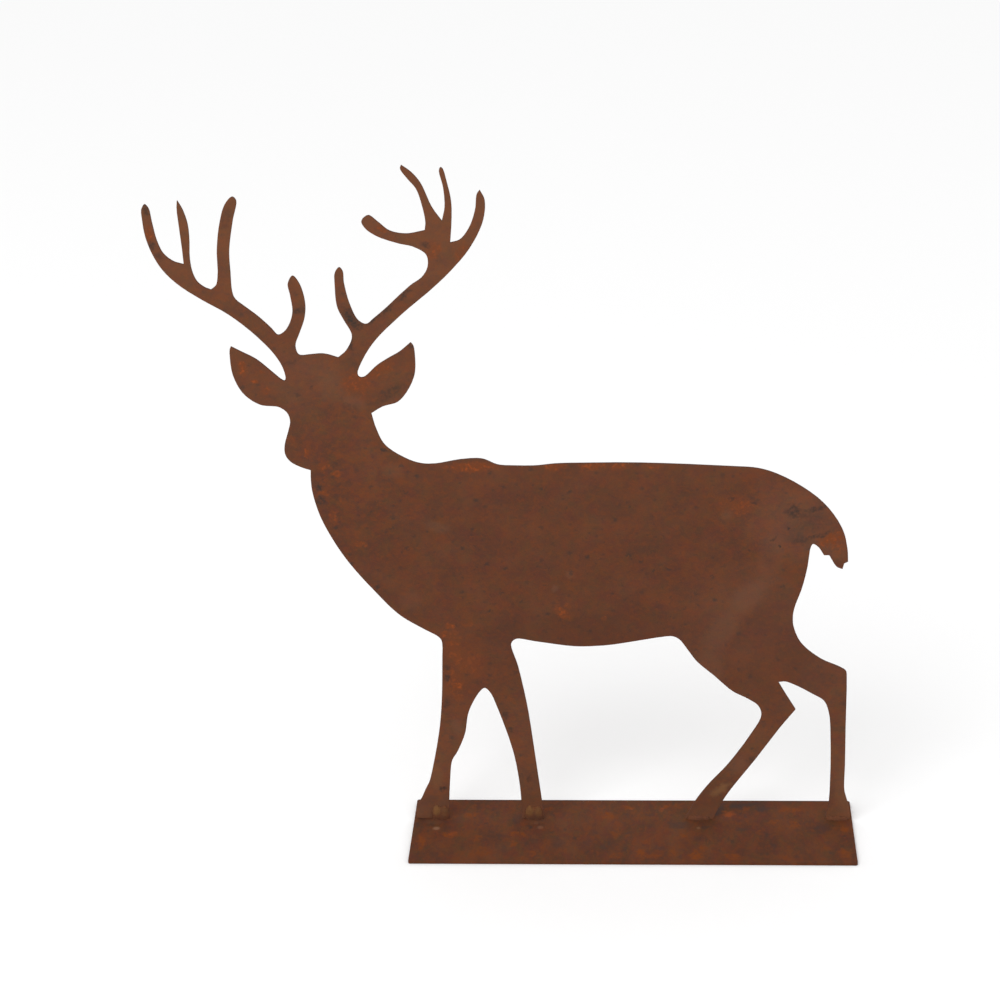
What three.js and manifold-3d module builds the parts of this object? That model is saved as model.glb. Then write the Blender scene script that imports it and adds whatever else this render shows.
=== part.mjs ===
import * as THREE from 'three';
import { mergeVertices } from 'three/addons/utils/BufferGeometryUtils.js';
import Module from 'manifold-3d';

// A garden ornament: the silhouette of a standing stag, cut from one sheet of mild steel and left
// to rust. It stands upright on its four feet on a flat rectangular plate, and a short weld in
// front of each foot holds it there. Its head looks at the viewer and its body faces -X.
// Millimetres, +Z up, with the origin in the middle of the underside of the base plate.

// Driving dimensions
const FIGURE_HEIGHT = 463;
const FIGURE_SHEET = 2;
const BASE_SHEET = 2;
const BASE_DEPTH = 90;
const BASE_END_MARGIN = 1.4;
const BASE_BEHIND_FIGURE = 25.5;
const BASE_CORNER_RADIUS = 1.5;

// How finely the curves become straight steps: the farthest that a step of the cut may leave its
// curve, the samples taken between two of its points, and the steps round a corner and a lobe.
const CURVE_TOLERANCE = 0.06;
const SAMPLES_PER_SPAN = 24;
const CORNER_STEPS = 6;
const LOBE_STEPS = 20;
const LOBE_RINGS = 14;

// A weld is a row of lobes: how many, how far apart, and how wide, high and deep each one is.
const FORE_WELD = { lobes: 2, pitch: 6.2, width: 6.8, height: 10, depth: 3.4 };
const HIND_WELD = { lobes: 3, pitch: 4.6, width: 7, height: 3.6, depth: 3.4 };

// The cut, as corner-to-corner runs that follow one another clockwise seen from the front.
// Across and up are in thousandths of the figure's height, up from the soles. A run of two
// points is straight, and a longer one is a smooth curve through its points.
const OUTLINE = [
  // Front of the first foreleg, then the breast and the throat up to the chin
  [[-322, 0], [-321.5, 12], [-318.5, 24], [-313.5, 32], [-308, 45], [-301.5, 59], [-294.3, 89],
    [-283.5, 150], [-279, 200], [-276.8, 262], [-276.2, 281], [-277.4, 289], [-282, 295],
    [-301.7, 306.5], [-336.6, 329], [-371.8, 366.5], [-409.3, 414], [-431, 450.4],
    [-446.6, 485], [-455.8, 521], [-457.2, 540], [-456.8, 554]],
  // Muzzle, cheek and lower edge of the left ear
  [[-456.8, 554], [-466.7, 557], [-484, 566], [-491.8, 577], [-492.4, 591], [-486.2, 613.3],
    [-482.8, 628], [-486.3, 640.5], [-497.5, 649.2], [-524.3, 653], [-547.2, 669.6],
    [-560.3, 696], [-563.6, 723], [-563, 736], [-561.5, 739.5]],
  // Upper edge of the left ear, the notch beside it, and the outer side of the left antler
  [[-561.5, 739.5], [-548, 732.2], [-527, 720.8], [-506.5, 703], [-493, 690.8], [-488.2, 688.6],
    [-486.3, 692.5], [-490.2, 709.6], [-501.3, 729], [-518.5, 748.8], [-539.3, 768.6],
    [-565, 788.7], [-598.8, 808.8], [-628.7, 829.3], [-649, 849.5], [-661.5, 870],
    [-671.5, 898], [-675, 925], [-675, 940], [-670.5, 946.5], [-665.3, 941], [-661.5, 920],
    [-656.5, 895], [-648.5, 876], [-635, 864.5], [-620.7, 860]],
  // Second tine of the left antler
  [[-620.7, 860], [-621.7, 880], [-624, 910], [-626, 940], [-625, 952]],
  [[-625, 952], [-618, 939], [-612, 917], [-611, 895], [-612, 870], [-609.5, 849],
    [-603.5, 835], [-594, 826.8], [-585, 823]],
  // Third tine, and down along the left beam to its brow tine and the top of the skull
  [[-585, 823], [-577.5, 829.5], [-574, 847], [-573.5, 880], [-568, 918], [-559, 946],
    [-548.3, 956.5], [-543, 951], [-549.3, 922], [-556.3, 880], [-556.3, 850], [-553.3, 812],
    [-540.5, 799.5], [-521, 783.8], [-503, 766], [-494.5, 756.5], [-487, 759.5], [-479, 769.5],
    [-472.3, 790], [-474.5, 815], [-477, 831.5], [-470, 842.5], [-461, 831.5], [-454, 803],
    [-456, 780], [-463.3, 760], [-470.3, 740], [-466, 727], [-449.4, 727.3], [-434, 728.5],
    [-423.5, 726.7], [-411, 722.5]],
  // Brow tine of the right antler, the upper side of its beam, and the tine that points left
  [[-411, 722.5], [-399.5, 732.8], [-390.3, 755], [-400.5, 777.5], [-409.3, 797], [-411.6, 830],
    [-410.7, 847], [-404.5, 854.3], [-399.8, 849], [-398.6, 831], [-391.3, 799.5],
    [-381, 777.5], [-370, 771.6], [-359, 780], [-340, 796.3], [-320, 815.5], [-305, 828.7],
    [-290, 839.5], [-281.5, 855], [-283, 872.3], [-300.5, 883.8], [-320.5, 888.5],
    [-350.2, 899], [-366.2, 910.5], [-371, 921], [-361.5, 929], [-348.3, 919.5],
    [-333, 907], [-310, 902.4], [-284, 907]],
  // Upper tines of the right antler
  [[-284, 907], [-282.7, 919], [-286.8, 943], [-294.3, 966.5], [-304.8, 979.5],
    [-315.3, 995], [-314, 1000]],
  [[-314, 1000], [-300, 989.5], [-287.8, 974], [-273, 939.5], [-260, 920.5]],
  [[-260, 920.5], [-255.7, 940], [-256.8, 967], [-262, 992.5], [-259.8, 996.3],
    [-257.2, 994.5], [-251.6, 975], [-246.4, 947], [-246.6, 920], [-249.2, 889.3]],
  [[-249.2, 889.3], [-236, 893.4], [-222.3, 911.5], [-213.5, 938], [-211.3, 957.5],
    [-207, 964]],
  // Lower side of the right beam, the notch beside it, and the upper edge of the right ear
  [[-207, 964], [-200.5, 950], [-203, 921], [-222, 882], [-249.3, 849], [-279, 820.5],
    [-319, 786.5], [-357.8, 748], [-376, 720.5], [-384.5, 699], [-382.5, 694], [-376, 693.5],
    [-357, 710.6], [-340, 721.8], [-325, 730.5], [-308.5, 744.5]],
  [[-308.5, 744.5], [-304.8, 739.5], [-303, 726], [-304.2, 697], [-316.2, 671], [-329.6, 656.5],
    [-350.8, 649.8], [-367.3, 639.6]],
  // Back of the neck, the withers, the back, the rump and the outer side of the tail
  [[-367.3, 639.6], [-361.4, 616.5], [-349.2, 591.2], [-320, 570.8], [-300, 563.6],
    [-280, 562.8], [-240, 569.7], [-212, 570.2], [-190, 561.2], [-165, 559.6], [-136, 559.6],
    [-108, 562.6], [-50, 563.7], [0, 563.8], [70, 561.6], [140, 558], [176, 555.4],
    [200, 548.6], [231.6, 532.7], [263.9, 509.4], [285.4, 485.5], [300.7, 458], [306.8, 432],
    [308, 412.3]],
  // Ragged end of the tail
  [[308, 412.3], [302.5, 409.5]],
  [[302.5, 409.5], [300.2, 400.8]],
  [[300.2, 400.8], [292, 404.5], [281, 422.3]],
  [[281, 422.3], [273.5, 422.3]],
  // Underside of the tail, the back of the thigh, the hock and the heel of the last foot
  [[273.5, 422.3], [265, 435.3], [257.5, 439.6], [254.3, 434], [250.4, 404.3], [242.8, 370.2],
    [232.8, 340.5], [230.8, 325], [232.5, 309], [243.3, 284.7], [271.5, 260], [300.5, 246.2],
    [309, 240], [310.2, 230], [310.4, 150], [310.8, 90], [310.8, 48], [314.5, 33],
    [318.5, 18], [320, 0]],
  [[320, 0], [283, 0]],
  // Front of the last leg and the notch above its hock
  [[283, 0], [287.8, 22], [289.6, 60], [289.2, 120], [285.6, 173], [278, 193], [261.5, 204],
    [238, 217.2], [221.5, 223.8], [211.3, 223]],
  [[211.3, 223], [222, 204], [237, 179]],
  // Back and front of the slanting leg, the belly and the back of the second foreleg
  [[237, 179], [214.6, 149.5], [179.5, 98], [140.3, 43.3], [126, 18], [118, 0]],
  [[118, 0], [76, 0]],
  [[76, 0], [94, 32.2], [111.8, 57], [139, 88.5], [171.5, 136.5], [187.3, 168],
    [183, 184.5], [165.5, 197.3], [145.5, 208], [117.2, 234], [93.2, 255.6], [78, 277],
    [67.7, 290.6], [58, 295.6], [40, 294.2], [20, 290.8], [-28, 282.5], [-50, 280.3],
    [-85, 279.8], [-141.3, 287.6], [-169, 291.2], [-176, 283.5], [-166.3, 245.4],
    [-153.8, 180.5], [-145.2, 113.3], [-137, 45.6], [-131.5, 0]],
  [[-131.5, 0], [-164, 0]],
  // Between the forelegs
  [[-164, 0], [-167.8, 58.3], [-176.3, 110.5], [-198.8, 183.3], [-208, 205.5], [-216, 212.8],
    [-223.3, 207], [-240, 175], [-246.5, 139], [-258.5, 109], [-266.5, 95], [-271, 55],
    [-274, 0]],
  [[-274, 0], [-322, 0]],
];

// Where the middle of each foot's weld is, across, in the outline's own units
const WELDS = {
  first_foreleg_weld: { across: -286, ...FORE_WELD },
  second_foreleg_weld: { across: -147.3, ...FORE_WELD },
  first_hindleg_weld: { across: 97, ...HIND_WELD },
  second_hindleg_weld: { across: 301.5, ...HIND_WELD },
};

const wasm = await Module();
wasm.setup();

const steel = (color, roughness) => new THREE.MeshStandardMaterial({ color, roughness, metalness: 0.3 });

// Keeps only the points that hold the curve to the tolerance.
function thin(points) {
  const chord = new THREE.Line3(points[0], points[points.length - 1]);
  const nearest = new THREE.Vector3();
  const gaps = points.map((point) => chord.closestPointToPoint(point, true, nearest).distanceTo(point));
  const widest = Math.max(...gaps);
  if (widest < CURVE_TOLERANCE) return [chord.start, chord.end];
  const split = gaps.indexOf(widest);
  return [...thin(points.slice(0, split + 1)), ...thin(points.slice(split)).slice(1)];
}

const unit = FIGURE_HEIGHT / 1000;
const soles = OUTLINE.flat().filter(([, up]) => up === 0).map(([across]) => across * unit);
const feetMiddle = (Math.min(...soles) + Math.max(...soles)) / 2;
const baseLength = Math.max(...soles) - Math.min(...soles) + 2 * BASE_END_MARGIN;
const figureFrontY = BASE_DEPTH / 2 - BASE_BEHIND_FIGURE - FIGURE_SHEET;

// The points of the cut, with the feet centred on x = 0.
function cutPoints() {
  return OUTLINE.flatMap((run) => {
    const knots = run.map(([across, up]) => new THREE.Vector3(across * unit - feetMiddle, up * unit, 0));
    const curve = new THREE.CatmullRomCurve3(knots, false, 'centripetal');
    return thin(curve.getPoints((knots.length - 1) * SAMPLES_PER_SPAN)).slice(1);
  });
}

function baseGeometry() {
  const [halfX, halfY, radius] = [baseLength / 2, BASE_DEPTH / 2, BASE_CORNER_RADIUS];
  const shape = new THREE.Shape();
  shape.absarc(halfX - radius, halfY - radius, radius, 0, Math.PI / 2);
  shape.absarc(radius - halfX, halfY - radius, radius, Math.PI / 2, Math.PI);
  shape.absarc(radius - halfX, radius - halfY, radius, Math.PI, 1.5 * Math.PI);
  shape.absarc(halfX - radius, radius - halfY, radius, 1.5 * Math.PI, 2 * Math.PI);
  return new THREE.ExtrudeGeometry(shape, {
    depth: BASE_SHEET,
    bevelEnabled: false,
    curveSegments: CORNER_STEPS,
  });
}

// The sheet is extruded flat and then stood up, so that its front face is at y = 0.
function figureGeometry() {
  const geometry = new THREE.ExtrudeGeometry(new THREE.Shape(cutPoints()), {
    depth: FIGURE_SHEET,
    bevelEnabled: false,
  });
  return geometry.rotateX(Math.PI / 2).translate(0, FIGURE_SHEET, 0);
}

function toSolid(geometry) {
  geometry.deleteAttribute('normal');
  geometry.deleteAttribute('uv');
  const merged = mergeVertices(geometry);
  const vertProperties = merged.attributes.position.array;
  const triVerts = new Uint32Array(merged.index.array);
  return new wasm.Manifold(new wasm.Mesh({ numProp: 3, vertProperties, triVerts }));
}

function toGeometry(solid) {
  const { vertProperties, triVerts } = solid.getMesh();
  const geometry = new THREE.BufferGeometry();
  geometry.setAttribute('position', new THREE.BufferAttribute(vertProperties, 3));
  geometry.setIndex(new THREE.BufferAttribute(triVerts, 1));
  geometry.computeVertexNormals();
  return geometry;
}

// Lobes in a row along X, kept only in front of y = 0 and above z = 0. Each is turned by half a step
// so that z = 0 cuts through its faces and not along an edge.
function weldGeometry({ lobes, pitch, width, height, depth }) {
  const row = Array.from({ length: lobes }, (_, index) => {
    const lobe = new THREE.SphereGeometry(1, LOBE_STEPS, LOBE_RINGS).rotateY(Math.PI / LOBE_STEPS);
    lobe.scale(width / 2, depth, height);
    return toSolid(lobe.translate((index - (lobes - 1) / 2) * pitch, 0, 0));
  });
  const length = lobes * pitch + width;
  const room = new THREE.BoxGeometry(length, 2 * depth, 2 * height).translate(0, -depth, height);
  return toGeometry(row.reduce((joined, lobe) => joined.add(lobe)).intersect(toSolid(room)));
}

const ornament = new THREE.Group();

function addPiece(name, geometry, material, [x, y, z]) {
  const mesh = new THREE.Mesh(geometry, material);
  mesh.name = name;
  mesh.position.set(x, y, z);
  ornament.add(mesh);
}

addPiece('base_plate', baseGeometry(), steel(0x5f3d2e, 0.9), [0, 0, 0]);
addPiece('stag_silhouette', figureGeometry(), steel(0x664131, 0.85), [0, figureFrontY, BASE_SHEET]);
for (const [name, weld] of Object.entries(WELDS)) {
  const x = weld.across * unit - feetMiddle;
  addPiece(name, weldGeometry(weld), steel(0x75603f, 0.7), [x, figureFrontY, BASE_SHEET]);
}

export default ornament;
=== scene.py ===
# %% [markdown]
# # A rusted steel stag on its base plate
#
# The real object is a garden ornament: the silhouette of a stag, cut from 2 mm steel sheet,
# stood upright on a flat plate and held there by a short weld in front of each foot.
# Nothing on it moves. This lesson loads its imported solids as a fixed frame, models each
# visible piece over them, and gives every surface a rust that is built from shader nodes
# alone.

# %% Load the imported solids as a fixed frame
from math import pi, radians, sin

import bpy
from mathutils import Matrix, Vector, noise


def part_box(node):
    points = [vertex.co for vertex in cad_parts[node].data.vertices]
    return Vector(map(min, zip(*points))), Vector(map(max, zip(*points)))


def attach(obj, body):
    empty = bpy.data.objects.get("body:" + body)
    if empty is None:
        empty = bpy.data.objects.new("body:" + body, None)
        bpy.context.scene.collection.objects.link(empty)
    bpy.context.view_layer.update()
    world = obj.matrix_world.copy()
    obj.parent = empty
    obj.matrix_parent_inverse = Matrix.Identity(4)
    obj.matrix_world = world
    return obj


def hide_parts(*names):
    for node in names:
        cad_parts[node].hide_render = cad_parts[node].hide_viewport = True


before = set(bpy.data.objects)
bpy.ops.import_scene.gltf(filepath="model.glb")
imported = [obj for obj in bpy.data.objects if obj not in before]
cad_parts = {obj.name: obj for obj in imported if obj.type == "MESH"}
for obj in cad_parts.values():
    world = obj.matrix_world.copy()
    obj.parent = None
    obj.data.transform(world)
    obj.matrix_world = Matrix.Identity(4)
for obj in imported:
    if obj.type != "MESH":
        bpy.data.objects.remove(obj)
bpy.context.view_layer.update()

base_low, base_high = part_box("base_plate")
sheet_low, sheet_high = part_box("stag_silhouette")

# %% [markdown]
# ## The camera
#
# The photograph looks down at the ornament from about two metres away through a long lens,
# a little from the right of the figure's middle and with a slight tilt. The camera could be
# aimed with a Track To constraint, but a turn written as pan, dip and tilt keeps the three
# angles apart, so each can be corrected by itself. The lens is stated for Blender's usual
# sensor, 36 mm wide.

# %% Aim the camera
CAMERA_PLACE = (0.0116, -1.8229, 0.9629)
CAMERA_PAN = 0.05325
CAMERA_DIP = radians(21.491)
CAMERA_TILT = -0.02107
LENS = 108.14
SENSOR_WIDTH = 36
NEAREST, FARTHEST = 0.05, 50

bpy.ops.object.camera_add(location=CAMERA_PLACE)
camera = bpy.context.object
camera.name = "photo_camera"
turn = Matrix.Rotation(CAMERA_PAN, 4, "Z")
turn = turn @ Matrix.Rotation(pi / 2 - CAMERA_DIP, 4, "X")
turn = turn @ Matrix.Rotation(CAMERA_TILT, 4, "Z")
camera.matrix_world = Matrix.Translation(CAMERA_PLACE) @ turn
camera.data.lens = LENS
camera.data.sensor_width = SENSOR_WIDTH
camera.data.clip_start = NEAREST
camera.data.clip_end = FARTHEST
bpy.context.scene.camera = camera
print("camera at", CAMERA_PLACE, "lens", LENS, "mm")

# %% [markdown]
# ## Small helpers for modelling
#
# Operators act on whatever is selected, and the import leaves the solids selected, so each
# step starts by letting go of everything. Faces and edges are then picked in code by where
# they lie, which is what a hand would do with the mouse.


# %% Helpers that pick, edit and finish a mesh
def let_go():
    """Deselects everything, so that the next operator touches only its own piece."""
    bpy.ops.object.select_all(action="DESELECT")


def take(piece):
    """Makes one piece the only selected and active object."""
    let_go()
    piece.select_set(True)
    bpy.context.view_layer.objects.active = piece


def pick_edges(piece, wanted):
    """In edit mode, selects only the edges whose two ends pass the test."""
    bpy.ops.mesh.select_mode(type="EDGE")
    bpy.ops.mesh.select_all(action="DESELECT")
    bpy.ops.object.mode_set(mode="OBJECT")
    points = piece.data.vertices
    for edge in piece.data.edges:
        edge.select = wanted(*(points[index].co for index in edge.vertices))
    bpy.ops.object.mode_set(mode="EDIT")


def apply_modifier(piece, kind, **settings):
    """Adds a modifier with its settings and applies it at once."""
    take(piece)
    modifier = piece.modifiers.new(kind.title(), kind)
    for name, value in settings.items():
        setattr(modifier, name, value)
    bpy.ops.object.modifier_apply(modifier=modifier.name)


def settle(piece):
    """Puts a piece's place, turn and scale into its mesh, so that its object sits at the origin."""
    take(piece)
    bpy.ops.object.transform_apply(location=True, rotation=True, scale=True)


def describe(piece):
    """Prints a piece's size and its number of faces."""
    size = [round(1000 * length, 2) for length in piece.dimensions]
    print(piece.name, "size in mm", size, "faces", len(piece.data.polygons))


# %% [markdown]
# ## The base plate
#
# The real base is a sheared rectangle of 2 mm steel, 300 mm long and 90 mm deep. Its four
# corners are rounded by a file, and years of handling and rust have softened every edge. A
# cube at the plate's size is bevelled twice in edit mode: first its four upright edges, for
# the corners, then the long rims above and below, for the soft edge that catches a thin
# line of light.

# %% Model the base plate
BASE_CORNER = 0.0015
SOFT_EDGE = 0.00028
CORNER_SEGMENTS = 7
EDGE_SEGMENTS = 3
UPRIGHT_RISE = 0.001
LEVEL_RISE = 0.0001
FLAT_FACE_WEIGHT = 100

let_go()
bpy.ops.mesh.primitive_cube_add(size=1, location=(base_low + base_high) / 2)
base = bpy.context.object
base.name = "rusted_base"
base.scale = base_high - base_low
settle(base)

bpy.ops.object.mode_set(mode="EDIT")
pick_edges(base, lambda a, b: abs(a.z - b.z) > UPRIGHT_RISE)
bpy.ops.mesh.bevel(offset=BASE_CORNER, segments=CORNER_SEGMENTS, affect="EDGES")
pick_edges(base, lambda a, b: abs(a.z - b.z) < LEVEL_RISE)
bpy.ops.mesh.bevel(offset=SOFT_EDGE, segments=EDGE_SEGMENTS, affect="EDGES")
bpy.ops.object.mode_set(mode="OBJECT")
bpy.ops.object.shade_smooth()
apply_modifier(base, "WEIGHTED_NORMAL", keep_sharp=False, weight=FLAT_FACE_WEIGHT)
describe(base)

# %% [markdown]
# ## The stag
#
# The stag is one piece of sheet, so what matters is its outline, and that is already in the
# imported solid. The solid's mesh is loose triangles and must stay as it is. A copy is
# merged, its flat sides are dissolved into single faces, and a bevel rounds the two rims of
# the cut by a quarter of a millimetre. The soles then sink a hair into the plate, where the
# welds melted both together. A weighted normal keeps the big faces flat while the rounding
# stays smooth.

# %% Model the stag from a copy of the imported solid
RIM_ROUNDING = 0.00025
ROOT_DEPTH = 0.0003
SAME_PLACE = 0.000001
SAME_FACE = radians(0.1)
SHARP_RIM = radians(50)
SMOOTH_BELOW = radians(40)

stag = bpy.data.objects.new("cut_stag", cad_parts["stag_silhouette"].data.copy())
bpy.context.scene.collection.objects.link(stag)
take(stag)
bpy.ops.object.mode_set(mode="EDIT")
bpy.ops.mesh.select_all(action="SELECT")
bpy.ops.mesh.remove_doubles(threshold=SAME_PLACE)
bpy.ops.mesh.dissolve_limited(angle_limit=SAME_FACE)
bpy.ops.object.mode_set(mode="OBJECT")
apply_modifier(
    stag,
    "BEVEL",
    width=RIM_ROUNDING,
    segments=2,
    limit_method="ANGLE",
    angle_limit=SHARP_RIM,
    use_clamp_overlap=False,
    miter_outer="MITER_SHARP",
)
for point in stag.data.vertices:
    if point.co.z < base_high.z + ROOT_DEPTH:
        point.co.z -= ROOT_DEPTH
take(stag)
bpy.ops.object.shade_smooth_by_angle(angle=SMOOTH_BELOW)
apply_modifier(stag, "WEIGHTED_NORMAL", keep_sharp=True, weight=FLAT_FACE_WEIGHT)
describe(stag)

# %% [markdown]
# ## The welds
#
# In front of each foot lies a short weld. The two forefeet show a pair of rounded dabs,
# taller than they are thick, and at the hind feet there is only a low run that hardly
# shows. Each dab starts as a ball. The balls of one weld are joined, fused by a voxel
# remesh and smoothed, then the bead is rippled a little, as metal is that cooled in steps,
# and cut off flat behind and below. The cuts lie a hair inside the sheet and the plate, so
# that no two faces share one plane.

# %% Model one weld bead
BALL_SEGMENTS, BALL_RINGS = 32, 20
VOXEL = 0.00022
SMOOTHING_PASSES = 16
RIPPLE_DEPTH = 0.00004
RIPPLE_STEP = 0.0013
RIPPLE_WANDER = 3
LUMP_DEPTH = 0.00014
LUMP_SIZE = 0.0026
CUT_EDGE = radians(50)


def weld_bead(name, node, dabs, seed):
    """Joins balls into one bead in the place of a packed weld. A dab is its place along the weld
    from 0 to 1, its width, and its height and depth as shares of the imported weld's."""
    low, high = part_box(node)
    room = high - low
    balls = []
    for place, width, tall, deep in dabs:
        let_go()
        centre = (low.x + width / 2 + place * (room.x - width), high.y, low.z)
        bpy.ops.mesh.primitive_uv_sphere_add(
            segments=BALL_SEGMENTS, ring_count=BALL_RINGS, radius=1, location=centre
        )
        balls.append(bpy.context.object)
        balls[-1].scale = (width / 2, deep * room.y, tall * room.z)
    let_go()
    for ball in balls:
        ball.select_set(True)
    bpy.context.view_layer.objects.active = balls[0]
    bpy.ops.object.join()
    bead = bpy.context.object
    bead.name = name
    settle(bead)
    apply_modifier(bead, "REMESH", mode="VOXEL", voxel_size=VOXEL)
    apply_modifier(bead, "SMOOTH", factor=0.5, iterations=SMOOTHING_PASSES)

    # A normal is worked out anew after each move, so all of them are read before the first.
    points = bead.data.vertices
    outward = [point.normal.copy() for point in points]
    for point, normal in zip(points, outward):
        lump = noise.noise(point.co / LUMP_SIZE + Vector((seed, 0, 0)))
        ripple = sin(2 * pi * (point.co.z - low.z) / RIPPLE_STEP + RIPPLE_WANDER * lump)
        point.co += normal * (LUMP_DEPTH * lump + RIPPLE_DEPTH * ripple)

    bpy.ops.object.mode_set(mode="EDIT")
    for normal in ((0, 1, 0), (0, 0, -1)):
        bpy.ops.mesh.select_all(action="SELECT")
        bpy.ops.mesh.bisect(
            plane_co=(low.x, high.y + ROOT_DEPTH, low.z - ROOT_DEPTH),
            plane_no=normal,
            use_fill=True,
            clear_outer=True,
        )
    bpy.ops.object.mode_set(mode="OBJECT")
    bpy.ops.object.shade_smooth_by_angle(angle=CUT_EDGE)
    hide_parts(node)
    describe(bead)
    return bead


# %% Lay a bead in front of each foot
FORE_DABS = (
    (0.02, 0.0074, 1.02, 0.72),
    (0.98, 0.0078, 0.98, 0.8),
    (0.5, 0.0100, 0.86, 0.66),
)
HIND_DABS = (
    (0.04, 0.0072, 0.72, 0.6),
    (0.5, 0.0082, 0.88, 0.75),
    (0.96, 0.0072, 0.66, 0.58),
    (0.5, 0.0145, 0.6, 0.56),
)

beads = [
    weld_bead("first_foreleg_bead", "first_foreleg_weld", FORE_DABS, 1.7),
    weld_bead("second_foreleg_bead", "second_foreleg_weld", FORE_DABS, 5.3),
    weld_bead("first_hindleg_bead", "first_hindleg_weld", HIND_DABS, 9.1),
    weld_bead("second_hindleg_bead", "second_hindleg_weld", HIND_DABS, 13.6),
]

# %% [markdown]
# ## Writing shaders as sums
#
# Rust is layers of noise, and wiring dozens of Math nodes by hand is slow to read. A small
# class wraps one number socket and overloads the arithmetic signs, so `1 - mask * 0.5` adds
# its own nodes. Colours never pass through it, because a Math node would turn them grey:
# they are blended with Mix nodes. Every other node is made by one method, which sets its
# settings before its sockets.


# %% A number that varies over a surface
SMOOTH_STEP = {"interpolation_type": "SMOOTHSTEP", "clamp": True}


class Field:
    """A number socket in a finish's graph, with arithmetic."""

    def __init__(self, finish, socket):
        self.finish = finish
        self.socket = socket

    def _sum(self, operation, first, second):
        sockets = {0: first, 1: second}
        return self.finish.node("ShaderNodeMath", {"operation": operation}, sockets)

    def __add__(self, other):
        return self._sum("ADD", self, other)

    def __radd__(self, other):
        return self._sum("ADD", other, self)

    def __sub__(self, other):
        return self._sum("SUBTRACT", self, other)

    def __rsub__(self, other):
        return self._sum("SUBTRACT", other, self)

    def __mul__(self, other):
        return self._sum("MULTIPLY", self, other)

    def __rmul__(self, other):
        return self._sum("MULTIPLY", other, self)

    def __abs__(self):
        return self._sum("ABSOLUTE", self, 0.0)

    def larger(self, other):
        """The larger of two numbers at each point."""
        return self._sum("MAXIMUM", self, other)

    def rise(self, start, end):
        """0 below start and 1 above end, with a smooth slope between them."""
        sockets = {"Value": self, "From Min": start, "From Max": end}
        return self.finish.node("ShaderNodeMapRange", SMOOTH_STEP, sockets)


# %% A finish: one material and its graph
FAR = 1000
RUST_IOR = 1.45
FRECKLE_OUTER, FRECKLE_INNER = 1.6, 0.35
FRECKLE_CHANCE = (0.1, 0.8)
OVAL_OUTER, OVAL_INNER = 1.15, 0.35


def tone(red, green, blue):
    """A colour as a paint program gives it, 0 to 255, in the linear values that shaders use."""
    linear = []
    for value in (red, green, blue):
        share = value / 255
        linear.append(share / 12.92 if share <= 0.04045 else ((share + 0.055) / 1.055) ** 2.4)
    return (*linear, 1.0)


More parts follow.
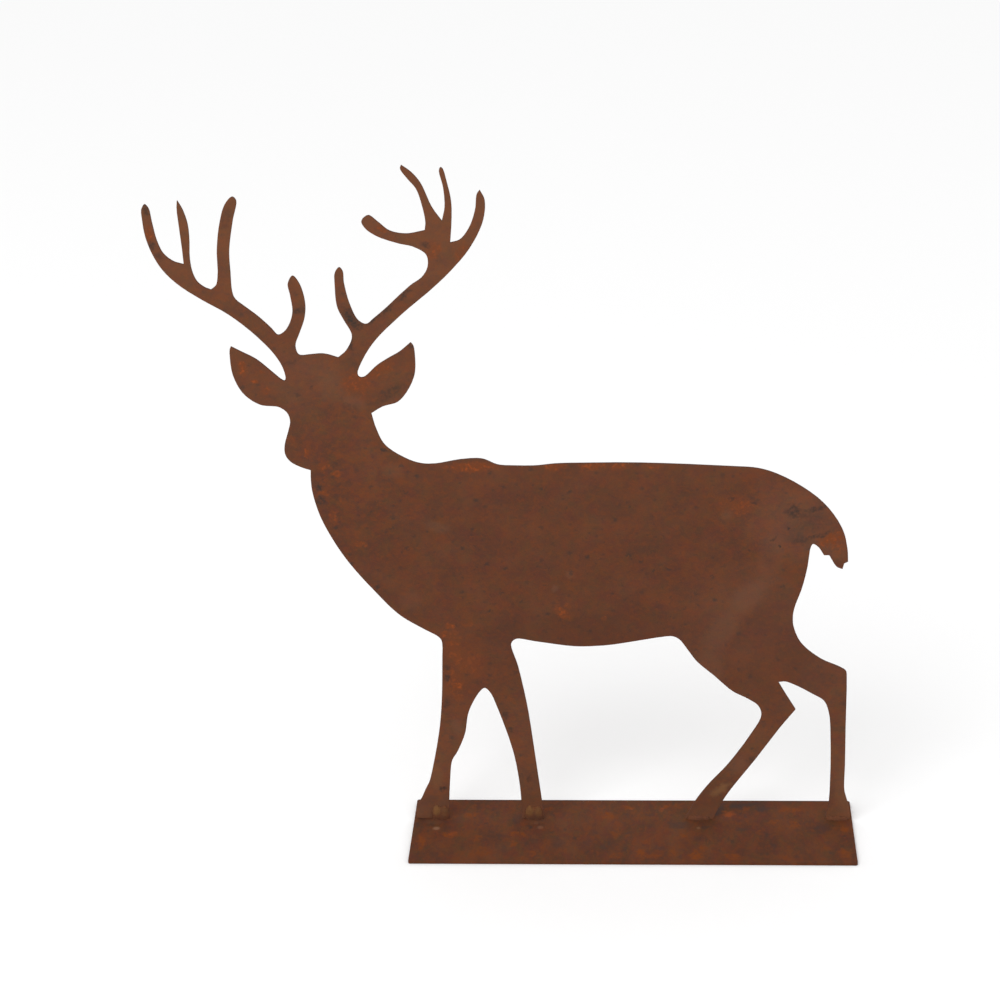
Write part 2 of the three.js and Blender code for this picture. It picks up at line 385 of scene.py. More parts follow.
class Finish:
    """A material that is filled node by node."""

    def __init__(self, name):
        self.material = bpy.data.materials.new(name)
        self.material.use_nodes = True
        self.tree = self.material.node_tree
        self.tree.nodes.clear()

    def node(self, kind, settings, sockets, out=0):
        """Adds any node: its settings first, then the values or links of its sockets."""
        made = self.tree.nodes.new(kind)
        for name, value in settings.items():
            setattr(made, name, value)
        for key, value in sockets.items():
            if isinstance(value, Field):
                self.tree.links.new(value.socket, made.inputs[key])
            else:
                made.inputs[key].default_value = value
        return None if out is None else Field(self, made.outputs[out])

    def place(self):
        """Where a point is on the piece, in millimetres."""
        metres = self.node("ShaderNodeTexCoord", {}, {}, "Object")
        settings = {"operation": "SCALE"}
        return self.node("ShaderNodeVectorMath", settings, {0: metres, "Scale": 1000.0})

    def parts(self, vector):
        """The three numbers of a vector."""
        return [self.node("ShaderNodeSeparateXYZ", {}, {0: vector}, axis) for axis in range(3)]

    def join(self, x, y, z):
        """A vector from its three numbers."""
        return self.node("ShaderNodeCombineXYZ", {}, {0: x, 1: y, 2: z})

    def noise(self, place, size, detail=3.0, roughness=0.55, warp=0.0):
        """Cloudy noise whose lumps are about size millimetres across, from 0 to 1."""
        sockets = {
            "Vector": place,
            "Scale": 1 / size,
            "Detail": detail,
            "Roughness": roughness,
            "Distortion": warp,
        }
        return self.node("ShaderNodeTexNoise", {}, sockets, "Fac")

    def freckles(self, place, spacing, radius):
        """Scattered round spots, in millimetres, of which some are strong and some hardly show."""
        sockets = {"Vector": place, "Scale": 1 / spacing}
        near = self.node("ShaderNodeTexVoronoi", {}, sockets, "Distance")
        chance = self.parts(self.node("ShaderNodeTexVoronoi", {}, sockets, "Color"))[0]
        edge = radius / spacing
        round_spot = near.rise(FRECKLE_OUTER * edge, FRECKLE_INNER * edge)
        return round_spot * chance.rise(*FRECKLE_CHANCE)

    def blend(self, share, below, above):
        """Lays one colour over another by a share from 0 to 1."""
        settings = {"data_type": "RGBA", "clamp_factor": True}
        return self.node("ShaderNodeMix", settings, {0: share, 6: below, 7: above}, 2)

    def blot(self, place, across, up, wide, tall, turned, strength, plane):
        """A soft-edged oval mark. Across and up give its middle, wide and tall its half sizes and
        turned its slant in degrees, all in the plane of the sheet (XZ) or of the base (XY)."""
        slant = radians(turned)
        if plane == "XZ":
            middle, angles = (across, 0, up), (0, -slant, 0)
            size, shrink = (wide, FAR, tall), (1 / wide, 0, 1 / tall)
        else:
            middle, angles = (across, up, 0), (0, 0, slant)
            size, shrink = (wide, tall, FAR), (1 / wide, 1 / tall, 0)
        if turned:
            sockets = {"Vector": place, "Location": middle, "Rotation": angles, "Scale": size}
            inside = self.node("ShaderNodeMapping", {"vector_type": "TEXTURE"}, sockets)
        else:
            back = [-along * share for along, share in zip(middle, shrink)]
            settings = {"operation": "MULTIPLY_ADD"}
            inside = self.node("ShaderNodeVectorMath", settings, {0: place, 1: shrink, 2: back})
        settings = {"operation": "LENGTH"}
        distance = self.node("ShaderNodeVectorMath", settings, {0: inside}, "Value")
        sockets = {
            "Value": distance,
            "From Min": OVAL_OUTER,
            "From Max": OVAL_INNER,
            "To Max": strength,
        }
        return self.node("ShaderNodeMapRange", SMOOTH_STEP, sockets)

    def blots(self, place, marks, plane):
        """All marks of one kind, the strongest winning where they overlap."""
        total = None
        for mark in marks:
            one = self.blot(place, *mark, plane)
            total = one if total is None else total.larger(one)
        return total

    def steel(self, colour, roughness, height, relief, gloss):
        """Ends the graph in a shader: dull, with a faint gloss, and its relief as a bump."""
        bump = self.node(
            "ShaderNodeBump",
            {},
            {"Strength": 1.0, "Distance": relief, "Height": height},
        )
        surface = self.node(
            "ShaderNodeBsdfPrincipled",
            {},
            {
                "Base Color": colour,
                "Roughness": roughness,
                "Normal": bump,
                "Metallic": 0.0,
                "IOR": RUST_IOR,
                "Specular IOR Level": gloss,
            },
        )
        self.node("ShaderNodeOutputMaterial", {}, {"Surface": surface}, None)


# %% [markdown]
# ## The rust itself
#
# Weathered steel is nearly one brown, and its life is in small differences: patches of
# redder and duller rust a thumb wide, a mottle of a few millimetres that lies along the way
# the sheet was rolled, a grain as fine as sand, and scattered dark freckles where the mill
# scale still shows. An image could carry all that, but noise needs no unwrapping and never
# repeats. All finishes share this skin, and each sets its own strengths.

# %% Colours of rust
BROWN = tone(88, 52, 34)
RED_BROWN = tone(82, 45, 32)
UMBER = tone(72, 42, 29)
RUST_RED = tone(92, 46, 35)
OLIVE = tone(84, 57, 33)
ORANGE = tone(110, 56, 27)
BLOOM_ORANGE = tone(114, 57, 22)
DEEP_ORANGE = tone(84, 46, 10)
BRIGHT_ORANGE = tone(142, 68, 28)
SLATE = tone(50, 41, 40)
SCALE_BROWN = tone(52, 41, 35)
FADED = tone(118, 76, 50)
WARM_GREY = tone(108, 73, 54)
STRAW = tone(118, 80, 42)
# The pale tone of welding spatter, also laid as painted light in front of the forefeet's welds.
SPATTER_AND_PAINTED_LIGHT_TONE = tone(134, 96, 74)
# The tone of a painted fill light, laid low on the stag's legs and on the welds to lift the shade
# near the plate.
FILL_LIGHT_TONE = tone(150, 102, 74)
PALE_STRAW = tone(132, 94, 60)
BLEACHED_GREY = tone(120, 84, 67)


# %% Layers that every finish shares
PATCH_SIZE = 55
CLOUD_SIZE = 19
BLOTCH_SIZE = 12
HUE_SIZE = 7
MOTTLE_SIZE = 2.7
SAND_SIZE = 0.85
LARGE_FRECKLES = (7.6, 1.5)
SMALL_FRECKLES = (4.6, 0.95)


def rust_skin(finish, place, patches, mottle, spots):
    """The colour, roughness and relief of bare rust. The last three numbers are the strengths of
    the thumb-wide patches, of the mottle with its grain, and of the dark freckles."""
    broad = finish.noise(place, PATCH_SIZE, 2)
    cloudy = finish.noise(place, CLOUD_SIZE, 3, 0.55, 0.3)
    medium = finish.noise(place, BLOTCH_SIZE, 3, 0.55, 0.4)
    small = finish.noise(place, MOTTLE_SIZE, 3, 0.6, 0.3)
    sand = finish.noise(place, SAND_SIZE, 2, 0.6)
    large_dots = finish.freckles(place, *LARGE_FRECKLES)
    dots = large_dots.larger(0.6 * finish.freckles(place, *SMALL_FRECKLES))
    dots = dots * small.rise(0.62, 0.4)
    hue = finish.noise(place, HUE_SIZE, 3, 0.5, 0.5)

    # Each layer is its noise, where it begins to show and shows in full, its strength and colour.
    layers = (
        (broad, 0.35, 0.65, patches, RED_BROWN),
        (cloudy, 0.45, 0.72, patches * 0.5, FADED),
        (cloudy, 0.5, 0.3, patches * 0.8, UMBER),
        (hue, 0.5, 0.68, patches * 1.3, RUST_RED),
        (hue, 0.5, 0.32, patches * 1.3, OLIVE),
        (medium, 0.47, 0.7, patches, ORANGE),
        (medium, 0.5, 0.3, patches * 0.5, SLATE),
        (small, 0.47, 0.72, mottle, ORANGE),
        (small, 0.5, 0.28, mottle * 0.55, SLATE),
        (sand, 0.5, 0.75, mottle * 0.6, ORANGE),
        (sand, 0.5, 0.25, mottle * 0.3, SLATE),
    )
    colour = BROWN
    for layer, start, end, strength, above in layers:
        colour = finish.blend(layer.rise(start, end) * strength, colour, above)
    colour = finish.blend(dots * spots, colour, SCALE_BROWN)

    roughness = 0.8 + small * 0.12 - dots * 0.08
    height = small * 0.5 + sand * 0.35 - dots * 0.4
    return colour, roughness, height


# %% [markdown]
# ## Rust on the stag
#
# Rain and handling have left their own marks on the figure: orange flecks on the ears,
# throat, back and foreleg, dark scale on the brow tines and across the rump, a dark line
# along the upper edge of one antler, a pale band that runs down the thigh, an orange patch
# on the tail, greyer rust on the forehead and the rump, and a straw-coloured heat tint on
# the hind legs. The neck and antlers are lighter, which follows the height, and low on the
# legs a painted fill light lifts the shade that gathers near the plate. Each mark is an
# oval, and its edge is broken up by noise. The marks belong to the front only, so the back
# shows the plain skin. The narrow walls of the cut are darker, with the fine lines across
# them that a cutting jet leaves.

# %% Marks on the front of the stag, in millimetres
# Each row is across, up, half width, half height, slant in degrees and strength.
ORANGE_MARKS = (
    (-252.6, 329.3, 4, 5.4, 10, 1),
    (-245, 320, 2.6, 2.2, 0, 0.9),
    (-239, 327, 2.4, 1.8, 0, 0.6),
    (-237, 314, 4.5, 3, 0, 0.5),
    (-163, 328, 12, 4, 32, 0.75),
    (-178, 318.5, 11, 8, 0, 0.65),
    (-158.5, 330, 5.4, 3, 0, 0.8),
    (-213.3, 271.2, 2, 4, 20, 1),
    (-222, 280, 4, 4, 0, 0.35),
    (-194.1, 256.1, 3.4, 2.6, 0, 1),
    (-202.5, 261, 5, 6, 0, 0.5),
    (-200, 250, 5, 9, 0, 0.35),
    (-203.7, 242, 5, 2.4, 0, 0.85),
    (-191, 235.6, 4, 3.4, 0, 0.5),
    (-197.2, 225.5, 4, 7, 0, 0.5),
    (-180.4, 206, 5, 2.4, 0, 0.9),
    (-120, 131, 7, 14, 0, 0.5),
    (-111, 119, 12, 14, 0, 0.3),
    (-122.8, 146.5, 4.4, 3, 0, 0.9),
    (-126, 140.5, 3.4, 3, 0, 0.7),
    (-109.5, 147, 6, 2, 0, 0.5),
    (-122.6, 133.5, 3.4, 2.6, 0, 0.9),
    (-117.5, 122.6, 4, 3.4, 0, 0.8),
    (-122, 106, 5, 14, 5, 0.45),
    (-46, 155.4, 7.5, 4.4, -35, 0.75),
    (-43, 161.4, 2.6, 2.6, 0, 0.6),
    (-18.3, 151.9, 2.6, 2.6, 0, 0.5),
    (-308, 421, 3.4, 7, 10, 1),
    (-158, 423, 4.5, 2.2, -35, 0.75),
    (-126, 409, 6, 7, 0, 0.6),
    (-105, 260.5, 20, 4, 0, 1),
    (-50, 261, 10, 3.4, 0, 0.9),
    (-26, 261, 10, 3.4, 0, 1),
    (-8, 261, 9, 3.2, 0, 0.9),
    (14, 261, 8, 3, 0, 0.7),
    (-108, 408, 4, 7, -25, 0.6),
    (-118, 102.4, 3.6, 3.4, 0, 1),
    (-116.9, 93.8, 4, 3.4, 0, 0.6),
    (70, 233, 14, 7, -12, 0.5),
    (132.4, 209.6, 11, 5.6, 20, 1),
    (136.5, 203.5, 6, 7, 0, 0.5),
)
DARK_MARKS = (
    (-180.5, 364, 10, 4.4, -58, 1),
    (-176, 358, 4, 3, 0, 0.8),
    (-181.6, 347, 2.2, 8, 5, 0.8),
    (-142.5, 344, 2.4, 3, 0, 0.8),
    # The next three rows draw a dark line along the upper edge of one antler's beam.
    (-166, 362.4, 7, 1.8, 40, 0.85),
    (-156.3, 370.2, 6, 1.8, 42, 0.8),
    (-145, 379.6, 7, 2, 42, 0.85),
    (-215, 369, 5, 3, 0, 0.75),
    (-221, 334, 6, 2.4, 20, 0.4),
    (-309, 438, 3, 6, 0, 0.7),
    (-307, 413, 2.6, 4, 15, 0.7),
    (-303, 406, 2.6, 4, 20, 0.5),
    (-258, 431, 4, 10, -15, 0.35),
    (-131, 413, 4, 2.2, -20, 0.6),
    (-122, 403, 3, 4, 0, 0.2),
    (-157, 312, 14, 4.4, 35, 0.55),
    (-183, 303, 7, 3.4, -20, 0.4),
    (-162.3, 272.4, 3, 1.8, -35, 0.9),
    (-206.2, 246, 2.8, 3.4, 0, 0.9),
    (-205, 237, 4.6, 4, 0, 0.85),
    (-194.8, 262.3, 4, 2.4, 0, 0.5),
    (-186, 249.8, 3.4, 2.4, 0, 0.45),
    (-207.5, 316, 2, 2, 0, 0.5),
    (-217, 311.5, 2, 2, 0, 0.5),
    (-202.6, 296.5, 2, 2, 0, 0.5),
    (106.6, 229, 7, 6, 0, 0.85),
    (113.5, 226, 7, 5, 0, 0.5),
    (122, 230.4, 8.4, 2.6, 18, 0.75),
    (122, 211.4, 12, 2.4, 20, 0.75),
    (111.5, 208.4, 9, 4.6, 0, 0.5),
    (92, 198, 8, 10, 0, 0.15),
    (120, 220, 17, 9, 12, 0.3),
    (103, 216, 1.7, 1.7, 0, 0.9),
    (98, 204, 1.6, 1.6, 0, 0.9),
    (94, 210, 3, 1.4, 35, 0.6),
    (66, 238, 3, 1.6, 0, 0.6),
    (80, 235, 3, 1.6, 0, 0.6),
    (-172.7, 228.4, 3.6, 1.8, 35, 0.65),
    (-39.3, 185, 1.8, 1.8, 0, 0.5),
    (-124.6, 108.6, 2.8, 4, 0, 0.85),
    (-124.4, 116.3, 2.4, 3, 0, 0.6),
    (-125, 88.5, 2.4, 4.4, 0, 0.6),
    (-130, 24, 3.4, 2.4, 0, 0.8),
    (-86, 80, 2.4, 3, 0, 0.7),
    (-82, 69, 2.4, 3, 0, 0.6),
    (-70, 32, 2.6, 3.4, 0, 0.6),
    (81.5, 47.5, 2.4, 3.4, 0, 0.5),
)
PALE_MARKS = (
    (92, 194, 10, 26, -8, 0.4),
    (78, 168, 20, 11, 45, 0.75),
    (60, 143, 24, 11, 55, 0.55),
    (52, 118, 11, 18, 10, 0.45),
    (-157, 258, 9, 7, 0, 0.4),
    (-128, 218, 10, 5, -10, 0.45),
    (-148, 165, 10, 9, 0, 0.35),
    (-41, 184, 5, 4, 0, 0.5),
    (-51, 174, 4, 3, 0, 0.6),
    (-180, 306, 10, 6, -20, 0.55),
    (63, 226, 5, 4, 0, 0.4),
    (-196, 316, 9, 12, 0, 0.35),
    (-119, 72, 5, 8, 0, 0.6),
    (72, 43, 8, 8, 0, 0.9),
    (-130, 14, 6, 6, 0, 0.35),
)
STRAW_MARKS = (
    (60, 24.6, 9.5, 3.8, 32, 0.75),
    (56.5, 22, 4.4, 3.8, 0, 0.6),
    (-134, 34, 6, 12, 0, 0.2),
    (144, 24, 8, 24, 0, 0.2),
    (137, 199, 6, 8, 0, 0.1),
)
THIGH_SHADE = (100, 118, 39, 47, 0, 1)
FORELEG_GLOW = (-121, 116, 24, 36, 0, 1)
BELLY_SHADE = (-30, 140, 90, 22, 0, 1)
BLEACHED_AREAS = (
    (-212, 322, 28, 22, 0, 0.35),
    (108, 222, 40, 34, -20, 0.8),
    (134, 206, 13, 14, 0, 0.75),
    (75, 150, 60, 50, 0, 0.35),
    (130, 110, 26, 26, 0, 0.4),
)
LIVELY_AREAS = (
    (-180, 280, 60, 90, 0, 1),
    (-190, 400, 180, 60, 0, 1),
    (110, 225, 60, 50, 0, 1),
)


# %% The stag's finish
# Heights are in millimetres above the ground, and shares run from 0 to 1. The front's marks fade
# out inside the sheet, within FACE_BAND of its middle. BACK_SHIFT moves the skin's noise on the
# back, so that the two sides differ.
FACE_BAND = 0.4
ROLLED_STRETCH = 0.82
BACK_SHIFT = 310
STAG_SKIN = (0.24, 0.31, 0.68)
LIVELY_LEGS, LIVELY_GAIN = (125, 60), 0.5
STAG_FRAY, STAG_FRAY_SIZE = 7, 5
BREAK_SIZE, BREAK_EDGE = 2.2, (0.35, 0.62)
FLECK_SIZE, FLECK_EDGE = 2.4, (0.5, 0.68)
# The colour turns lighter higher up, on the neck and more on the antlers.
NECK_HEIGHTS, NECK_LIGHTENING = (205, 345), 0.17
ANTLER_HEIGHTS, ANTLER_LIGHTENING = (335, 440), 0.2
# Low on the legs and at the feet the colour is painted lighter, a painted fill light against the
# shade near the plate.
LEG_HEIGHTS, LEG_SHARE = (125, 15), 0.17
FOOT_HEIGHTS, FOOT_SHARE = (16, 3), 0.12
GREYED_SHARE = 0.22
STRAW_SHARE = 0.7
BELLY_SHARE = 0.25
GLOW_SHARE = 0.22
THIGH_EDGE, THIGH_SHARE = (0.12, 0.22), 0.12
PALE_SHARE = 0.5
FLECK_SHARE = 0.7
WALL_TURN, WALL_SHARE = (0.75, 0.35), 0.75
WALL_LINE, LINE_STRETCH = 0.5, 0.06
STAG_RELIEF, STAG_GLOSS = 0.00012, 0.2


def front_marks(finish, colour, place, frayed, front):
    """Lays the marks of the stag's front over its skin. Also says where the dark scale lies."""
    broken = finish.noise(place, BREAK_SIZE, 3, 0.6).rise(*BREAK_EDGE)
    straw = finish.blots(frayed, STRAW_MARKS, "XZ") * front
    colour = finish.blend(straw * STRAW_SHARE, colour, PALE_STRAW)
    belly = finish.blot(place, *BELLY_SHADE, "XZ") * front
    colour = finish.blend(belly * BELLY_SHARE, colour, UMBER)
    glow = finish.blot(frayed, *FORELEG_GLOW, "XZ") * front
    colour = finish.blend(glow * GLOW_SHARE, colour, ORANGE)
    thigh = finish.blot(place, *THIGH_SHADE, "XZ").rise(*THIGH_EDGE) * front
    colour = finish.blend(thigh * THIGH_SHARE, colour, RED_BROWN)
    pale = finish.blots(frayed, PALE_MARKS, "XZ") * front
    colour = finish.blend(pale * PALE_SHARE, colour, WARM_GREY)
    orange = finish.blots(frayed, ORANGE_MARKS, "XZ") * front
    colour = finish.blend(orange * (0.45 + 0.55 * broken), colour, ORANGE)
    fleck = finish.noise(place, FLECK_SIZE, 3, 0.55).rise(*FLECK_EDGE)
    colour = finish.blend(orange * fleck * FLECK_SHARE, colour, BRIGHT_ORANGE)
    dark = finish.blots(frayed, DARK_MARKS, "XZ") * front
    colour = finish.blend(dark * (0.4 + 0.6 * broken), colour, SCALE_BROWN)
    return colour, dark


def cut_walls(finish, x, y, z, colour, height):
    """Darkens the narrow walls of the cut and draws the cutting jet's lines across them."""
    facing = finish.node("ShaderNodeTexCoord", {}, {}, "Normal")
    wall = abs(finish.parts(facing)[1]).rise(*WALL_TURN)
    lines = finish.noise(finish.join(x, LINE_STRETCH * y, z), WALL_LINE, 2)
    wall_colour = finish.blend(lines.rise(0.35, 0.65), UMBER, RED_BROWN)
    colour = finish.blend(wall * WALL_SHARE, colour, wall_colour)
    return colour, height + wall * lines * 0.5


def stag_finish():
    """The sheet's rust: the shared skin, lighter higher up and with a painted fill light low on the
    legs, then marks and walls.
    """
    finish = Finish("sheet_rust")
    place = finish.place()
    x, y, z = finish.parts(place)
    middle = 500 * (sheet_low.y + sheet_high.y)
    front = y.rise(middle + FACE_BAND, middle - FACE_BAND)

    rolled = finish.join(ROLLED_STRETCH * x + BACK_SHIFT * (1 - front), y, z)
    areas = finish.blots(place, LIVELY_AREAS, "XZ")
    lively = 1 + LIVELY_GAIN * areas.larger(z.rise(*LIVELY_LEGS))
    patches, mottle, spots = STAG_SKIN
    colour, roughness, height = rust_skin(
        finish, rolled, patches * lively, mottle * lively, spots
    )

    wander = finish.noise(place, STAG_FRAY_SIZE, 3, 0.6)
    drift = finish.noise(finish.join(z, y, x), STAG_FRAY_SIZE, 3, 0.6)
    frayed = finish.join(x + STAG_FRAY * (wander - 0.5), y, z + STAG_FRAY * (drift - 0.5))

    # Lighter higher up, on the neck and more on the antlers.
    lighter_higher_up = z.rise(*NECK_HEIGHTS) * NECK_LIGHTENING + z.rise(*ANTLER_HEIGHTS) * ANTLER_LIGHTENING
    colour = finish.blend(lighter_higher_up, colour, FADED)
    greyed = finish.blots(frayed, BLEACHED_AREAS, "XZ") * front
    colour = finish.blend(greyed * GREYED_SHARE, colour, BLEACHED_GREY)
    # Painted fill light: the legs turn paler towards the plate, lifting the shade that gathers
    # there.
    painted_fill_light = z.rise(*LEG_HEIGHTS) * LEG_SHARE + z.rise(*FOOT_HEIGHTS) * FOOT_SHARE
    colour = finish.blend(painted_fill_light, colour, FILL_LIGHT_TONE)

    colour, dark = front_marks(finish, colour, place, frayed, front)
    colour, height = cut_walls(finish, x, y, z, colour, height)
    finish.steel(colour, roughness - dark * 0.1, height, STAG_RELIEF, STAG_GLOSS)
    return finish.material


# %% [markdown]
# ## Rust on the base
#
# The base lies flat, so water stands on it, and its rust is blotchier: orange blooms and
# dark patches a finger wide, with a few spots of bright new rust. Welding has burnt dark
# patches into it in front of the feet and left pale specks of spatter. The shadow that the
# slanting hind leg casts on the plate behind it is painted dark, and just in front of the
# forefeet's welds a little pale grey is painted light that lifts their shade. The far edge
# is darker, where the rim turns away from the light.

# %% Marks on the top of the base, in millimetres
# Each row is across, back from the middle, half width, half depth, slant in degrees and
# strength.
BLOOM_MARKS = (
    (-111, 23, 6, 4, 45, 0.8),
    (-110, 35, 4, 4, 0, 0.5),
    (-125, -7, 7, 4, 5, 1),
    (-143, -17, 3.4, 16, 0, 0.9),
    (-80, -5, 4, 4, 0, 1),
    (-74, -7, 2.2, 4.4, 0, 0.8),
    (-80, -20, 3.4, 6, 0, 0.8),
    (-105, -13, 3, 7, 0, 0.6),
    (-100, -31, 8, 9, 0, 0.65),
    (-108, -37, 4, 6, 0, 0.5),
    (-67, -34, 3, 4.4, 0, 0.8),
    (-73, -41, 5.5, 4, 0, 0.5),
    (-58, 31, 4, 4.4, 0, 0.8),
    (-17, 21, 5, 6, 0, 0.85),
    (-3, 33, 5.5, 4, -30, 0.8),
    (22, 33, 6, 3.4, 50, 0.9),
    (32, 37, 5, 3.5, 0, 0.6),
    (-11, -5, 3.4, 9, 0, 0.5),
    (6, -34, 4, 9, 0, 1),
    (15, -38, 8, 4, 0, 0.7),
    (-10, -36, 6, 6, 0, 0.6),
    (27, -31, 3.4, 9, 0, 0.6),
    (42, -35, 5.5, 9, 0, 1),
    (47, -26, 4, 4.4, 0, 0.8),
    (35, -7, 3, 3.2, 0, 0.7),
    (78, 33, 3, 4, 0, 0.6),
    (109, 32, 11, 5.6, 5, 0.9),
    (96, 12, 5, 5, 0, 0.8),
    (110, 8, 3.4, 12, 0, 0.7),
    (144, 4, 3.4, 7, 0, 0.85),
    (85, -3, 2.2, 4.4, 0, 0.6),
    (72, 12, 4, 4, 0, 0.5),
    (131, -24, 3.4, 3, 0, 0.7),
    (142, -32, 5.5, 7, 0, 0.85),
    (66, -37, 7, 6, 0, 0.9),
    (103, -38, 4, 4.4, 0, 0.6),
    (50, -25, 2.2, 4.4, 0, 0.6),
    (11, -16, 3.4, 7, 0, 0.5),
)
DARK_PATCHES_AND_SHADOW = (
    (-129, 13, 4.2, 2.5, 15, 0.6),
    (-137, 11, 3.6, 3, 0, 0.5),
    (-147, 7, 2.4, 5, 0, 0.8),
    (-79, 17, 4, 12, 0, 0.55),
    (-64, 15, 4, 3, 0, 0.6),
    (-71, 4, 1.8, 5.4, 0, 0.9),
    (-89, -9, 5, 4.4, 0, 0.55),
    (-86, -26, 3, 6, 0, 0.55),
    (-72, -19, 4, 10, 0, 0.5),
    (-66, -17, 3.4, 6, 0, 0.5),
    (-51, -18, 5.5, 10, 0, 0.75),
    (-26, -3, 3.4, 6, 0, 0.5),
    (-30, -17, 4, 6, 0, 0.5),
    (-4, 23, 3, 3.2, 0, 0.6),
    (12, 23, 3.4, 2.5, 0, 0.5),
    (1, 10, 2.2, 3.2, 0, 0.6),
    (-3, -4, 2.2, 3.2, 0, 0.6),
    (-20, -24, 2.5, 5, 0, 0.5),
    (-5, -24, 2.5, 6.5, 0, 0.5),
    (18, -24, 5, 4, 0, 0.65),
    (31, 9, 10, 7, 0, 0.8),
    (49, 5, 4, 3.2, 0, 0.9),
    (45, -10, 6, 5, 0, 0.5),
    (32, -38, 2.3, 4, 0, 0.6),
    # The next three rows paint the shadow that the slanting hind leg casts on the plate behind it.
    (60, 31, 12.5, 2.6, 69, 1),
    (72, 36, 7, 6, 0, 1.25),
    (79, 40, 15, 4, 0, 0.95),
    (77, 23, 3.2, 3.2, 0, 0.7),
    (89, 34, 6, 5.5, 0, 0.95),
    (130, 5, 7.6, 9, 0, 0.75),
    (75, 3, 6, 2.4, 0, 0.7),
    (95, -21, 3.2, 4.7, 0, 0.6),
    (131, -16, 3.2, 3.2, 0, 0.5),
    (133, -31, 3.7, 3.2, 0, 0.5),
    (147, 38, 2, 3.5, 0, 0.8),
)
NEW_RUST = (
    (66, 24.5, 6, 4.6, -25, 0.8),
    (-122, -5, 3.4, 2.6, 0, 0.45),
    (-1, 30, 2.4, 2.4, 0, 0.5),
    (20, 30, 2.2, 3.2, 0, 0.5),
)
SPATTER_AND_PAINTED_LIGHT = (
    (-134, 2, 3, 3, 0, 0.75),
    (-63, 4, 2.6, 3, 0, 0.35),
    (-66, 11, 2.6, 3.5, 0, 0.2),
    (45, 4, 1.6, 2.2, 0, 0.35),
    # The last two rows are painted light: wide, faint pale patches that lift the shade in front of
    # the forefeet's welds.
    (-136, 12, 9, 5, 0, 0.14),
    (-67, 13, 8, 5, 0, 0.12),
)


# %% The base's finish
BASE_SKIN = (0.4, 0.42, 0.55)
STREAK_STRETCH = 0.5
BASE_FRAY_ALONG, BASE_FRAY_BACK, BASE_FRAY_SIZE = 9, 14, 6
BLOOM_BREAK_SIZE, BLOOM_BREAK_EDGE = 2.6, (0.32, 0.62)
TOP_HEIGHTS = (1.0, 1.4)
DARK_AND_SHADOW_SHARE = 0.58
NEW_RUST_SHARE = 0.8
UNDERTONE_SHARE = 0.1
SPATTER_AND_PAINTED_LIGHT_SHARE = 0.9
FAR_RIM, FAR_RIM_SHARE = (43.2, 44.6), 0.5
BASE_RELIEF, BASE_GLOSS = 0.00014, 0.12


def base_finish():
    """The plate's rust: the shared skin in streaks, then what lies on its top."""
    finish = Finish("plate_rust")
    place = finish.place()
    x, y, z = finish.parts(place)
    streaked = finish.join(x, STREAK_STRETCH * y, z)
    colour, roughness, height = rust_skin(finish, streaked, *BASE_SKIN)

    wander = finish.noise(place, BASE_FRAY_SIZE, 3, 0.6)
    drift = finish.noise(finish.join(y, x, z), BASE_FRAY_SIZE, 3, 0.6)
    along = x + BASE_FRAY_ALONG * (wander - 0.5)
    frayed = finish.join(along, y + BASE_FRAY_BACK * (drift - 0.5), z)
    broken = finish.noise(streaked, BLOOM_BREAK_SIZE, 3, 0.6).rise(*BLOOM_BREAK_EDGE)
    top = z.rise(*TOP_HEIGHTS)

    blooms = finish.blots(frayed, BLOOM_MARKS, "XY") * top
    colour = finish.blend(blooms * (0.3 + 0.75 * broken), colour, BLOOM_ORANGE)
    # Dark rust patches and welding burns, and the painted shadow of the slanting hind leg.
    dark_and_shadow = finish.blots(frayed, DARK_PATCHES_AND_SHADOW, "XY") * top
    colour = finish.blend(dark_and_shadow * DARK_AND_SHADOW_SHARE, colour, SLATE)
    new_rust = finish.blots(frayed, NEW_RUST, "XY") * top
    colour = finish.blend(new_rust * NEW_RUST_SHARE, colour, BRIGHT_ORANGE)
    colour = finish.blend(UNDERTONE_SHARE, colour, DEEP_ORANGE)
    # Pale specks of spatter, and painted light in front of the forefeet's welds.
    spatter_and_painted_light = finish.blots(place, SPATTER_AND_PAINTED_LIGHT, "XY") * top
    colour = finish.blend(spatter_and_painted_light * SPATTER_AND_PAINTED_LIGHT_SHARE, colour, SPATTER_AND_PAINTED_LIGHT_TONE)
    far_rim = y.rise(*FAR_RIM) * top
    colour = finish.blend(far_rim * FAR_RIM_SHARE, colour, SLATE)

    height = height + spatter_and_painted_light * 0.5 + blooms * 0.15
    finish.steel(colour, roughness - dark_and_shadow * 0.12, height, BASE_RELIEF, BASE_GLOSS)
    return finish.material


# %% [markdown]
# ## Rust on the welds
#
# Weld metal rusts more slowly and keeps a straw-yellow heat tint. It is strongest on the
# left dab at each forefoot and fainter on the right one. The hind welds have none. A painted
# fill light lifts every bead a little, more at the hind feet, and a painted shade darkens
# the crease where a bead meets the plate, less at the hind feet.

# %% Where the heat tint lies on the welds, in millimetres
# Each row is across, up, half width, half height, slant in degrees and strength.
TINT_MARKS = (
    (-134.7, 8.8, 3.4, 4.6, 0, 1),
    (-128.8, 7.6, 3.4, 4.6, 0, 0.3),
    (-71.3, 8.6, 4.6, 5, 0, 0.85),
    (-64, 8, 4, 4.4, 0, 0.55),
)


# %% The welds' finish
WELD_SKIN = (0.3, 0.4, 0.3)
FORE_TO_HIND = (-40, 20)
# The toe is the lowest two millimetres of a bead, where a painted shade darkens the crease at the
# plate.
TOE_HEIGHTS = (1000 * base_high.z + 2.2, 1000 * base_high.z + 0.2)
TINT_CLOUDS, TINT_SHARE = 3, 0.85
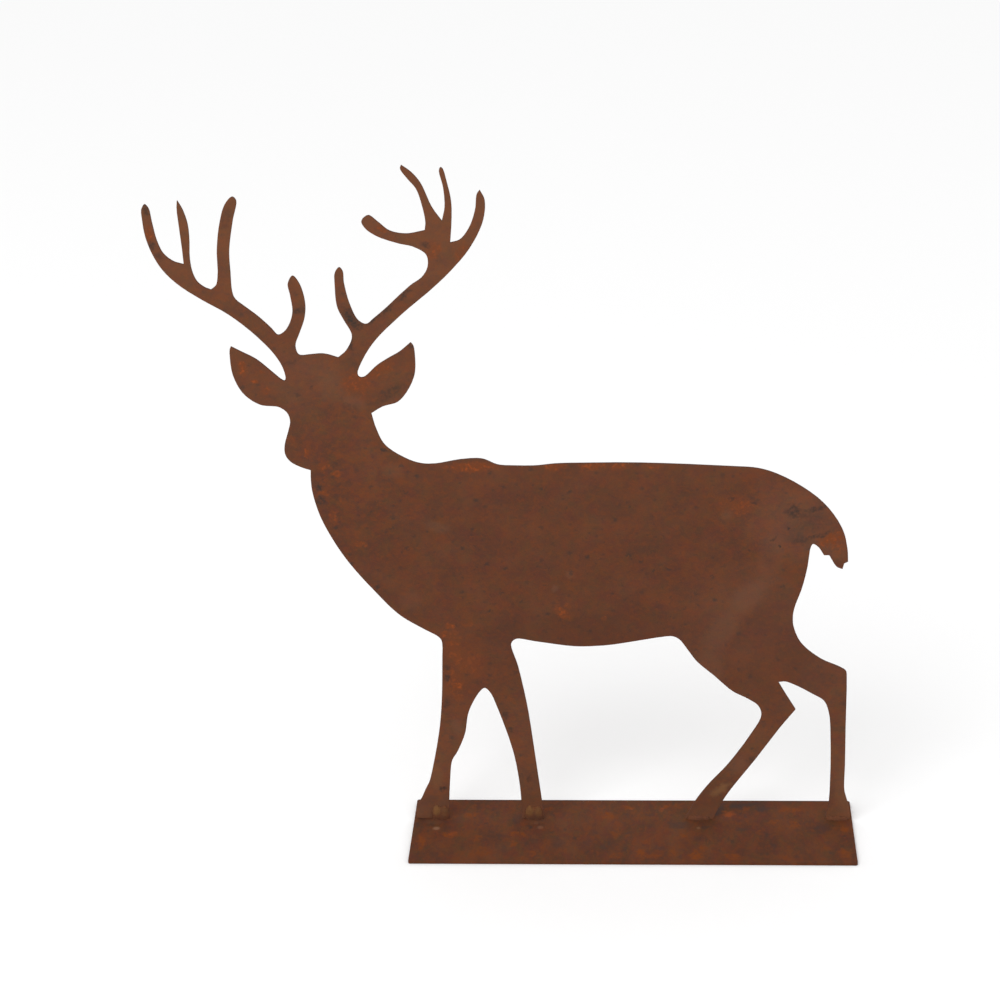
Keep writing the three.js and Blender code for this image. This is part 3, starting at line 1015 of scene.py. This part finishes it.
# Shares of the painted fill light on the beads and of the painted shade in their crease, changed at
# the hind feet.
FORE_FILL_LIGHT, MORE_HIND_FILL_LIGHT = 0.06, 0.07
FORE_CREASE_SHADE, LESS_HIND_CREASE_SHADE = 0.12, 0.1
WELD_RELIEF, WELD_GLOSS = 0.0001, 0.2


def weld_finish():
    """The beads' rust: the shared skin, then heat tint, a painted fill light and a painted shade in
    the crease at the toe.
    """
    finish = Finish("bead_rust")
    place = finish.place()
    x, _, z = finish.parts(place)
    colour, roughness, height = rust_skin(finish, place, *WELD_SKIN)
    hind = x.rise(*FORE_TO_HIND)
    toe = z.rise(*TOE_HEIGHTS)
    cloudy = finish.noise(place, TINT_CLOUDS, 3).rise(0.3, 0.55)
    tint = finish.blots(place, TINT_MARKS, "XZ") * (0.6 + 0.4 * cloudy)
    colour = finish.blend(tint * TINT_SHARE, colour, STRAW)
    # Painted fill light on the beads, stronger at the hind feet.
    colour = finish.blend(FORE_FILL_LIGHT + hind * MORE_HIND_FILL_LIGHT, colour, FILL_LIGHT_TONE)
    # Painted shade in the crease where a bead meets the plate, weaker at the hind feet.
    colour = finish.blend(toe * (FORE_CREASE_SHADE - LESS_HIND_CREASE_SHADE * hind), colour, SLATE)
    finish.steel(colour, roughness - tint * 0.12, height, WELD_RELIEF, WELD_GLOSS)
    return finish.material


# %% Dress each piece and let it ride on the root body
def dress(piece, material, node=None):
    """Gives a piece its only finish and ties it to the frame."""
    piece.data.materials.clear()
    piece.data.materials.append(material)
    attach(piece, "root")
    if node:
        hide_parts(node)


dress(base, base_finish(), "base_plate")
dress(stag, stag_finish(), "stag_silhouette")
bead_material = weld_finish()
for bead in beads:
    dress(bead, bead_material)
print("finishes:", sorted(material.name for material in bpy.data.materials))

# %% [markdown]
# ## Floor and light
#
# The photograph was cut out on white, with light so soft that hardly a shadow is left. A
# wide pale floor and an even white sky give that, and one broad lamp from the upper left
# lifts the edges a little. The view transform is Standard, so that a colour in the shader
# is the colour that shows.

# %% Lay the floor and hang the light
FLOOR_SIZE = 16
FLOOR_TONE = (0.95, 0.95, 0.95, 1.0)
SKY_STRENGTH = 0.98
LAMP_PLACE = Vector((-1.1, -1.6, 1.9))
LAMP_AIM = Vector((0, 0, 0.25))
LAMP_SIZE = 1.4
LAMP_POWER = 18

let_go()
bpy.ops.mesh.primitive_plane_add(size=FLOOR_SIZE, location=(0, 0, 0))
floor = bpy.context.object
floor.name = "pale_floor"
floor_paint = Finish("pale_floor")
floor_surface = floor_paint.node("ShaderNodeBsdfDiffuse", {}, {"Color": FLOOR_TONE})
floor_paint.node("ShaderNodeOutputMaterial", {}, {"Surface": floor_surface}, None)
floor.data.materials.append(floor_paint.material)

sky = bpy.data.worlds.new("white_sky")
sky.use_nodes = True
background = sky.node_tree.nodes["Background"]
background.inputs["Color"].default_value = (1, 1, 1, 1)
background.inputs["Strength"].default_value = SKY_STRENGTH
bpy.context.scene.world = sky

bpy.ops.object.light_add(type="AREA", location=LAMP_PLACE)
lamp = bpy.context.object
lamp.name = "soft_lamp"
lamp.data.size = LAMP_SIZE
lamp.data.energy = LAMP_POWER
lamp.rotation_euler = (LAMP_AIM - LAMP_PLACE).to_track_quat("-Z", "Y").to_euler()

bpy.context.scene.view_settings.view_transform = "Standard"
